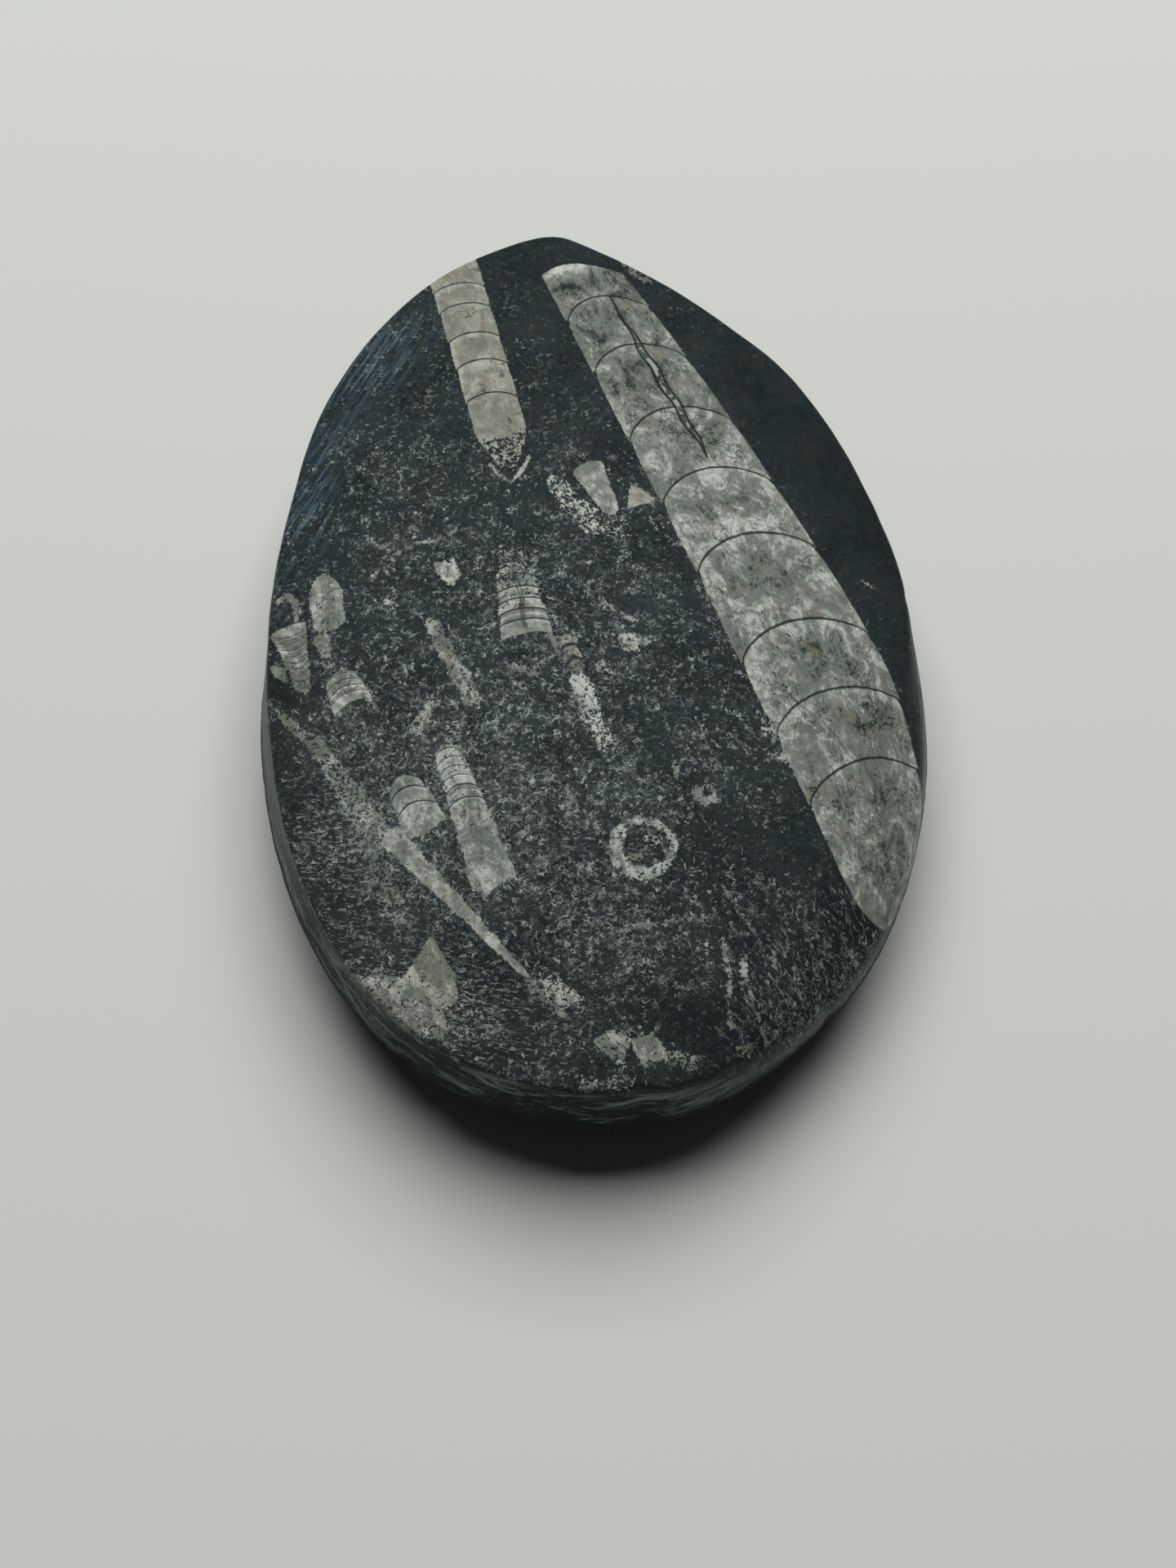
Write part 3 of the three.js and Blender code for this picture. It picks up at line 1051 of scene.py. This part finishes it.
class Rock:
    """Shorthand for the nodes of one stone material, measured in millimetres."""

    def __init__(self, name):
        self.material = bpy.data.materials.new(name)
        self.material.use_nodes = True
        self.tree = self.material.node_tree
        self.tree.nodes.clear()
        place = self.node("ShaderNodeTexCoord").outputs["Object"]
        self.place = self.scaled(place, (1 / MM, 1 / MM, 1 / MM))

    def node(self, kind):
        return self.tree.nodes.new(kind)

    def vector(self, operation, first, second):
        node = self.node("ShaderNodeVectorMath")
        node.operation = operation
        plug(self.tree, first, node.inputs[0])
        plug(self.tree, second, node.inputs[1])
        return node.outputs["Vector"]

    def scaled(self, vector, factors):
        return self.vector("MULTIPLY", vector, factors)

    def shifted(self, vector, amount):
        """Another part of the same pattern."""
        return self.vector("ADD", vector, (amount, 1.7 * amount, 0.6 * amount))

    def turned(self, degrees):
        """Places with the X axis laid along a direction on the face."""
        node = self.node("ShaderNodeVectorRotate")
        node.rotation_type = "Z_AXIS"
        plug(self.tree, self.place, node.inputs["Vector"])
        node.inputs["Angle"].default_value = -math.radians(degrees)
        return node.outputs["Vector"]

    def parts(self, vector):
        node = self.node("ShaderNodeSeparateXYZ")
        plug(self.tree, vector, node.inputs[0])
        return [Field(self.tree, output) for output in node.outputs]

    def combined(self, x, y, z):
        node = self.node("ShaderNodeCombineXYZ")
        for socket, value in zip(node.inputs, (x, y, z)):
            plug(self.tree, value, socket)
        return node.outputs[0]

    def noise(self, size, detail=2.0, roughness=0.5, distortion=0.0, place=None):
        """Soft noise between 0 and 1 whose lumps are about size millimetres."""
        node = self.node("ShaderNodeTexNoise")
        plug(self.tree, place or self.place, node.inputs["Vector"])
        node.inputs["Scale"].default_value = 1 / size
        node.inputs["Detail"].default_value = detail
        node.inputs["Roughness"].default_value = roughness
        node.inputs["Distortion"].default_value = distortion
        return Field(self.tree, node.outputs["Fac"])

    def cells(self, size, place=None):
        """Random cells about size millimetres across: three draws for each, and the cell's middle."""
        node = self.node("ShaderNodeTexVoronoi")
        plug(self.tree, place or self.place, node.inputs["Vector"])
        node.inputs["Scale"].default_value = 1 / size
        return self.parts(node.outputs["Color"]), node.outputs["Position"]

    def stored(self, name):
        """The three numbers that the mesh carries under a name."""
        node = self.node("ShaderNodeAttribute")
        node.attribute_name = name
        return self.parts(node.outputs["Vector"])

    def blend(self, amount, first, second):
        node = self.node("ShaderNodeMix")
        node.data_type = "RGBA"
        factor, first_colour, second_colour = node.inputs[0], node.inputs[6], node.inputs[7]
        plug(self.tree, amount, factor)
        plug(self.tree, first, first_colour)
        plug(self.tree, second, second_colour)
        return node.outputs[2]

    def threads(self, size, width, cover, shift, place=None):
        """Curly threads: where a soft noise passes its middle value. A second noise breaks them
        into short lengths, and cover, from 0 to 1, is how much of them is kept."""
        place = self.shifted(place or self.place, shift)
        line = (self.noise(size, 1, 0.5, 0.8, place) - 0.5).abs().ramp(0.3 * width, width, 1.0, 0.0)
        gate = self.noise(size * 1.1, 1, 0.5, 0.0, self.shifted(place, 9))
        return line * (gate + cover * 0.3 - 0.66).ramp(0.0, 0.05)

    def strokes(self, size, width, place):
        """Fine swirled strokes in patches: where a warped noise passes its middle value."""
        line = (self.noise(size, 3, 0.62, 2.2, place) - 0.5).abs().ramp(0.25 * width, width, 1.0, 0.0)
        return line * self.noise(size * 1.5, 1, 0.5, 0.0, self.shifted(place, 5)).ramp(0.5, 0.58)

    def flecks(self, cell, half_length, half_width, bend, amount, shift):
        """Short curled bits of shell, at most one in a cell, each with its own direction and size.

        Cells are tall, as the bits lie flat in their bed. A bit is an oval on bent axes, and
        amount is the share of cells that hold one."""
        place = self.shifted(self.scaled(self.place, (1, 1, FLAT_CELL)), shift)
        draw, middle = self.cells(cell, place)
        off_x, off_y, off_z = self.parts(self.vector("SUBTRACT", place, middle))
        turn = draw[0] * (2 * math.pi)
        c, s = turn.math("COSINE"), turn.math("SINE")
        along = off_x * c + off_y * s
        side = off_y * c - off_x * s + along * along * (draw[1] - 0.5) * bend
        size = draw[1] * 0.7 + 0.45
        round_off = (along / half_length) * (along / half_length)
        round_off = round_off + (side / half_width) * (side / half_width)
        round_off = round_off + (off_z / 0.3) * (off_z / 0.3)
        body = (round_off / size).ramp(0.25, 1.2, 1.0, 0.0)
        held = (draw[2] - amount).ramp(-0.04, 0.04, 1.0, 0.0)
        return body * held * (draw[1] * 0.6 + 0.4)


def shell_hash(rock, density, long_flecks, slant_flecks):
    """How bright the broken shell in the rock is: a dim felt of fine threads, brighter curly ones
    in clumps, a few larger bits, and threads drawn out along the bed near the lower edges."""
    clump = (rock.noise(1.9, 3, 0.6) - 0.5) * 2.4 + (rock.noise(6, 2, 0.5) - 0.5) * 1.2
    directed = (long_flecks + slant_flecks).clamped()
    cover = (density * 0.9 + clump - directed * 0.35).clamped()
    vary = rock.noise(0.75, 2, 0.6).ramp(0.36, 0.68, 0.12, 0.95)
    felt = rock.threads(0.45, 0.09, cover, 0.0) * (vary * 0.4)
    curls = rock.threads(0.8, 0.05, cover * 0.8, 5.3) * vary
    small_curls = rock.threads(0.5, 0.05, cover * 0.6, 11.9) * vary
    bits = rock.flecks(0.85, 0.4, 0.09, 2.8, cover * 0.4, 7.3) * (vary * 0.6 + 0.4)
    chips = rock.flecks(1.9, 0.6, 0.13, 1.4, cover * 0.15 + 0.03, 13.1) * (vary * 0.6 + 0.3)
    light = felt.most(curls).most(small_curls).most(bits).most(chips)
    bedded = rock.scaled(rock.turned(LONG_LAY), (0.5, 1.5, 1))
    drawn_out = rock.threads(0.5, 0.06, long_flecks * 0.7, 31.0, bedded) * long_flecks.clamped()
    slanted = rock.scaled(rock.turned(SLANT_LAY), (0.5, 1.4, 1))
    slant = rock.threads(0.6, 0.06, slant_flecks * 0.6, 17.0, slanted) * slant_flecks.clamped()
    light = light * (density * 1.6 + 0.3).clamped()
    return light.most((drawn_out * 0.95).most(slant * 0.65) * (vary * 0.7 + 0.3))


def limestone_colour(rock):
    """Near black rock with clouds, faint brown and blue tints and the hash of broken shells."""
    density, brown, dark = rock.stored("bedding")
    long_flecks, slant_flecks, scratches_and_sheen = rock.stored("bedding_grain_and_sheen")
    cloud = rock.noise(7, 3, 0.55).ramp(0.32, 0.68)
    dust = rock.noise(0.3, 3, 0.7).ramp(0.42, 0.72)
    mottle = rock.noise(0.9, 3, 0.6, 0.8).ramp(0.42, 0.66)
    tint = rock.noise(2.6, 2, 0.55)
    colour = rock.blend(cloud, BLACK_ROCK, GREY_ROCK)
    colour = rock.blend(tint.ramp(0.56, 0.72) * 0.4, colour, BROWN_TINT)
    colour = rock.blend(tint.ramp(0.44, 0.28) * 0.5, colour, BLUE_TINT)
    colour = rock.blend(mottle * (density * 0.4 + 0.2).clamped(), colour, MOTTLE)
    colour = rock.blend(dust * (density * 0.4 + 0.1).clamped(), colour, SHELL_DUST)
    colour = rock.blend((brown * 0.6).clamped(), colour, BROWN_BED)
    colour = rock.blend((dark * 0.45).clamped(), colour, DARK_BED)
    # Grinding marks at the upper left, painted pale and bluish as a sheen of light on them
    ground = rock.scaled(rock.turned(GRINDING_LAY), (0.12, 2.2, 1))
    scratch_and_sheen = rock.noise(0.9, 3, 0.7, 0.0, ground).ramp(0.46, 0.62) * scratches_and_sheen
    colour = rock.blend((scratch_and_sheen * 0.9).clamped(), colour, GRINDING_MARK_AND_SHEEN)
    light = shell_hash(rock, density - dark * 0.5, long_flecks, slant_flecks)
    return rock.blend(light, colour, SHELL_FLECK)


def contrast(noise, gain):
    """Noise spread out from its middle value, between -0.5 and 0.5."""
    return ((noise - 0.5) * gain).most(-0.5).least(0.5)


def three_tones(rock, light, tones):
    """The dark tone where light is 0, the middling one at a half and the pale one at 1."""
    dark, middling, pale = tones
    colour = rock.blend(light.ramp(0.0, 0.5), dark, middling)
    return rock.blend(light.ramp(0.5, 1.0), colour, pale)


def calcite_colour(rock, tone, warmth, crisp, speckle, chamber, wall_half, outline):
    """Grey to cream calcite: swirled clouds, curds and feathers of crystal in zones, a darker heart
    in each chamber, and a quiet lighter fringe along the flanks and just after each wall."""
    number = rock.node("ShaderNodeTexWhiteNoise")
    number.noise_dimensions = "1D"
    plug(rock.tree, chamber.floor(), number.inputs["W"])
    chamber_tone = Field(rock.tree, number.outputs["Value"]) - 0.5
    inside = outline * -1
    to_wall = ((chamber + 0.5).fraction() - 0.5).abs()
    heart = inside.ramp(0.8, 3.8) * to_wall.ramp(0.08, 0.4)
    flank = inside.ramp(0.35, 1.1, 1.0, 0.0)
    after_wall = (chamber.fraction() / wall_half.most(0.001)).ramp(3, 10, 1.0, 0.0)
    after_wall = after_wall * wall_half.ramp(0.0, 0.002)
    lively = 1 - flank.most(after_wall) * 0.55

    lay = rock.scaled(rock.turned(LAY), (0.7, 1, 1))
    swirl = contrast(rock.noise(3.4, 3, 0.6, 1.6, lay), 4.0)
    plates = rock.noise(1.9, 4, 0.6, 1.8, rock.shifted(lay, 6)).ramp(0.45, 0.54, -0.5, 0.5)
    curds = contrast(rock.noise(1.0, 3, 0.6, 2.4, lay), 4.4)
    feathers = contrast(rock.noise(0.5, 2, 0.6, 1.4, rock.shifted(lay, 4)), 3.2)
    zone = rock.noise(3.4, 1, 0.5).ramp(0.36, 0.6, 0.3, 1.0) * lively
    drift = rock.noise(1.2, 3, 0.6) * 1.4
    crescents = rock.noise(1.0, 4, 0.6, 0.0, rock.combined(chamber * 2.6 + drift, drift * 1.5, 0.0))
    crescents = contrast(crescents, 4.0) * wall_half.ramp(0.035, 0.08)
    pale = rock.strokes(1.3, 0.035, rock.shifted(lay, 21)) * zone
    black = rock.strokes(2.1, 0.03, rock.shifted(lay, 27)) * lively
    light = tone + swirl * (crisp * 0.32 + 0.1) + plates * (crisp * 0.1 + 0.02)
    light = light + curds * zone * (crisp * 0.26 + 0.04)
    light = light + feathers * (crisp * 0.08 + 0.04) + chamber_tone * 0.08 + crescents * 0.42
    light = light + pale * crisp * 0.34 - black * crisp * 0.4
    light = light - heart * crisp * 0.12 + after_wall * 0.07 + flank * 0.03 + speckle * 0.14
    light = light.clamped()

    grey, cream = (three_tones(rock, light, tones) for tones in (GREY_CALCITE, CREAM_CALCITE))
    colour = rock.blend(warmth.clamped(), grey, cream)
    tint = rock.noise(1.9, 2, 0.6, 0.4)
    colour = rock.blend(tint.ramp(0.54, 0.7) * 0.4, colour, GREEN_CALCITE)
    return rock.blend(tint.ramp(0.46, 0.32) * 0.4, colour, TAN_CALCITE)


def wall_lines(rock, chamber, wall_half):
    """Thin dark chamber walls, with a wandering line, and hairline cracks."""
    wobble = (rock.noise(1.1, 2, 0.6) - 0.5) * 1.6
    off = ((chamber + wobble * wall_half + 0.5).fraction() - 0.5).abs()
    line = (off / wall_half.most(0.0001)).ramp(0.5, 1.2, 1.0, 0.0) * wall_half.ramp(0.0, 0.002)
    crack = (rock.noise(5.5, 3, 0.65, 0.3) - 0.5).abs().ramp(0.002, 0.007, 1.0, 0.0)
    crack = crack * rock.noise(3.7, 2).ramp(0.5, 0.58)
    short = (rock.noise(1.8, 2, 0.5, 0.6) - 0.5).abs().ramp(0.006, 0.016, 1.0, 0.0)
    short = short * rock.noise(1.1, 1).ramp(0.58, 0.64)
    return (line * 0.9).most(crack * 0.7).most(short * 0.6)


def with_tube(rock, calcite):
    """The tube through the chambers: two dark lines, and a dark filling with pale beads."""
    left, right, shown = rock.stored("shell_tube")
    line = left.abs().least(right.abs()).ramp(0.05, 0.17, 1.0, 0.0) * shown
    filling = left.ramp(-0.05, 0.05) * right.ramp(-0.05, 0.05, 1.0, 0.0) * shown
    core = left.least(right * -1).ramp(0.14, 0.3)
    beads = core * rock.noise(0.9, 1, 0.5, 0.3).ramp(0.48, 0.56)
    colour = rock.blend(filling * 0.75, calcite, TUBE_FILLING)
    colour = rock.blend(beads * filling * 0.8, colour, TUBE_BEAD)
    return rock.blend(line * 0.9, colour, TUBE_LINE)


def fossil_limestone():
    """Black limestone full of broken shell, with calcite shells cut flush in it."""
    rock = Rock("fossil_limestone")
    outline, chamber, tone = rock.stored("shell_cut")
    speckle, warmth, wall_half = rock.stored("shell_look")
    polish, crisp, side = rock.stored("finish_and_painted_shade")

    # Outlines wander a little, more where a shell has dissolved.
    wander = rock.noise(1.6, 3, 0.6) - 0.5
    grain = rock.noise(0.32, 2, 0.6) - 0.5
    edge = outline + wander * (speckle * 1.6 + 0.3) + grain * (speckle * 1.4 + 0.2)
    body = edge.ramp(-0.09, 0.07, 1.0, 0.0)
    # Dissolved shells let the rock through between their flecks.
    lumps = rock.noise(0.5, 3, 0.65, 0.9)
    body = body * (lumps - speckle * 0.27 - 0.27).ramp(-0.03, 0.04)

    walls = wall_lines(rock, chamber, wall_half)
    calcite = calcite_colour(rock, tone, warmth, crisp, speckle, chamber, wall_half, outline)
    calcite = rock.blend(walls, calcite, CHAMBER_WALL)
    calcite = with_tube(rock, calcite)
    colour = rock.blend(body, limestone_colour(rock), calcite)

    # Painted shade darkens the ground side. Pale beds run round it and fade towards the tip, which is
    # painted shade where the lamp lights that end.
    colour = rock.blend(side * 0.66, colour, SIDE_PAINTED_SHADE_COLOUR)
    beds = rock.noise(1.4, 4, 0.7, 0.8, rock.scaled(rock.place, (0.2, 0.2, 1.2)))
    towards_tip = rock.parts(rock.place)[1]
    beds = beds.ramp(0.48, 0.62) * side * towards_tip.ramp(-20, 40, 1.0, 0.35)
    colour = rock.blend(beds * 0.85, colour, PALE_BED)
    # The sawn underside is dusty and dull.
    dusty = rock.noise(2.5, 4, 0.7).ramp(0.35, 0.7)
    colour = rock.blend(polish, rock.blend(dusty, SAWN_DARK, SAWN_LIGHT), colour)

    shader = rock.node("ShaderNodeBsdfPrincipled")
    plug(rock.tree, colour, shader.inputs["Base Color"])
    smear = rock.noise(14, 3, 0.6)
    roughness = smear * 0.12 + grain * 0.1 + body * 0.05 + side * 0.4 + 0.24
    plug(rock.tree, roughness * polish + (1 - polish) * 0.8, shader.inputs["Roughness"])
    shader.inputs["IOR"].default_value = 1.5
    shader.inputs["Specular IOR Level"].default_value = 0.25
    shader.inputs["Specular Tint"].default_value = (0.75, 0.98, 1.0, 1)
    # Heights in millimetres: calcite stands a little proud, and the sawn face is pitted.
    height = grain * 0.004 + body * 0.006 - walls * 0.01 + beds * 0.05
    height = height * polish + (rock.noise(0.6, 4, 0.7) * 0.35) * (1 - polish)
    bump = rock.node("ShaderNodeBump")
    bump.inputs["Distance"].default_value = MM
    bump.inputs["Strength"].default_value = 0.8
    plug(rock.tree, height, bump.inputs["Height"])
    plug(rock.tree, bump.outputs["Normal"], shader.inputs["Normal"])
    output = rock.node("ShaderNodeOutputMaterial")
    rock.tree.links.new(shader.outputs[0], output.inputs["Surface"])
    return rock.material


# ---------------------------------------------------------------- stage


FLOOR_HALF = 1.2  # metres, as all lengths of the stage
FLOOR_GAP = 0.02 * MM

LAMP_RISE = 54  # degrees above the floor, behind the stone
LAMP_DISTANCE = 1.2
LAMP_SIDE = 0.01  # to the right of the middle
LAMP_SIZE = (1.2, 0.9)
LAMP_WATTS = 17.5
SKY = (0.93, 0.98, 0.97, 1)
FILL_STRENGTH = 0.02
BACKGROUND_STRENGTH = 0.6

VIEW_RISE = 65
VIEW_DISTANCE = 0.231
VIEW_TARGET = (-0.55 * MM, -19.0 * MM, 15 * MM)
FOCAL_LENGTH = 50  # millimetres, on a sensor 36 millimetres tall


def pale_floor():
    """A broad flat sheet of matt paper under the stone."""
    mesh = bpy.data.meshes.new("floor")
    corners = [(-1, -1), (1, -1), (1, 1), (-1, 1)]
    height = LOW[2] - FLOOR_GAP
    points = [(FLOOR_HALF * x, FLOOR_HALF * y, height) for x, y in corners]
    mesh.from_pydata(points, [], [(0, 1, 2, 3)])
    floor = bpy.data.objects.new("floor", mesh)
    bpy.context.scene.collection.objects.link(floor)
    paper = bpy.data.materials.new("pale_paper")
    paper.use_nodes = True
    shader = paper.node_tree.nodes["Principled BSDF"]
    shader.inputs["Base Color"].default_value = PAPER
    shader.inputs["Roughness"].default_value = 0.85
    shader.inputs["Specular IOR Level"].default_value = 0.2
    floor.data.materials.append(paper)


def soft_box(name, place, aim, size, power):
    """A rectangular lamp that faces a point and doesn't mirror in the polish."""
    lamp = bpy.data.lights.new(name, "AREA")
    lamp.shape = "RECTANGLE"
    lamp.size, lamp.size_y = size
    lamp.energy = power
    box = bpy.data.objects.new(name, lamp)
    box.location = place
    box.rotation_euler = (Vector(aim) - Vector(place)).to_track_quat("-Z", "Y").to_euler()
    box.visible_glossy = False
    bpy.context.scene.collection.objects.link(box)


def studio_light():
    """A broad lamp behind and above the stone, and a faint fill from all round that looks pale
    where the view runs past the floor."""
    rise = math.radians(LAMP_RISE)
    place = (LAMP_SIDE, LAMP_DISTANCE * math.cos(rise), LAMP_DISTANCE * math.sin(rise))
    soft_box("window", place, (0, 0, 0), LAMP_SIZE, LAMP_WATTS)
    world = bpy.data.worlds.new("studio")
    bpy.context.scene.world = world
    world.use_nodes = True
    tree = world.node_tree
    background = tree.nodes["Background"]
    background.inputs["Color"].default_value = SKY
    seen = Field(tree, tree.nodes.new("ShaderNodeLightPath").outputs["Is Camera Ray"])
    strength = seen.ramp(0.0, 1.0, FILL_STRENGTH, BACKGROUND_STRENGTH)
    plug(tree, strength, background.inputs["Strength"])


def camera():
    """A portrait view from high above the near end of the stone."""
    rise = math.radians(VIEW_RISE)
    away = Vector((0, -math.cos(rise), math.sin(rise)))
    lens = bpy.data.cameras.new("camera")
    lens.lens = FOCAL_LENGTH
    lens.sensor_width = 36
    lens.clip_start = 0.01
    view = bpy.data.objects.new("camera", lens)
    view.location = Vector(VIEW_TARGET) + VIEW_DISTANCE * away
    view.rotation_euler = (math.pi / 2 - rise, 0, 0)
    bpy.context.scene.collection.objects.link(view)
    bpy.context.scene.camera = view


camera()
studio_light()
pale_floor()
slab = fossil_stone()
slab.data.materials.append(fossil_limestone())
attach(slab, "root")
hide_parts(STONE)
bpy.context.scene.view_settings.view_transform = "Standard"
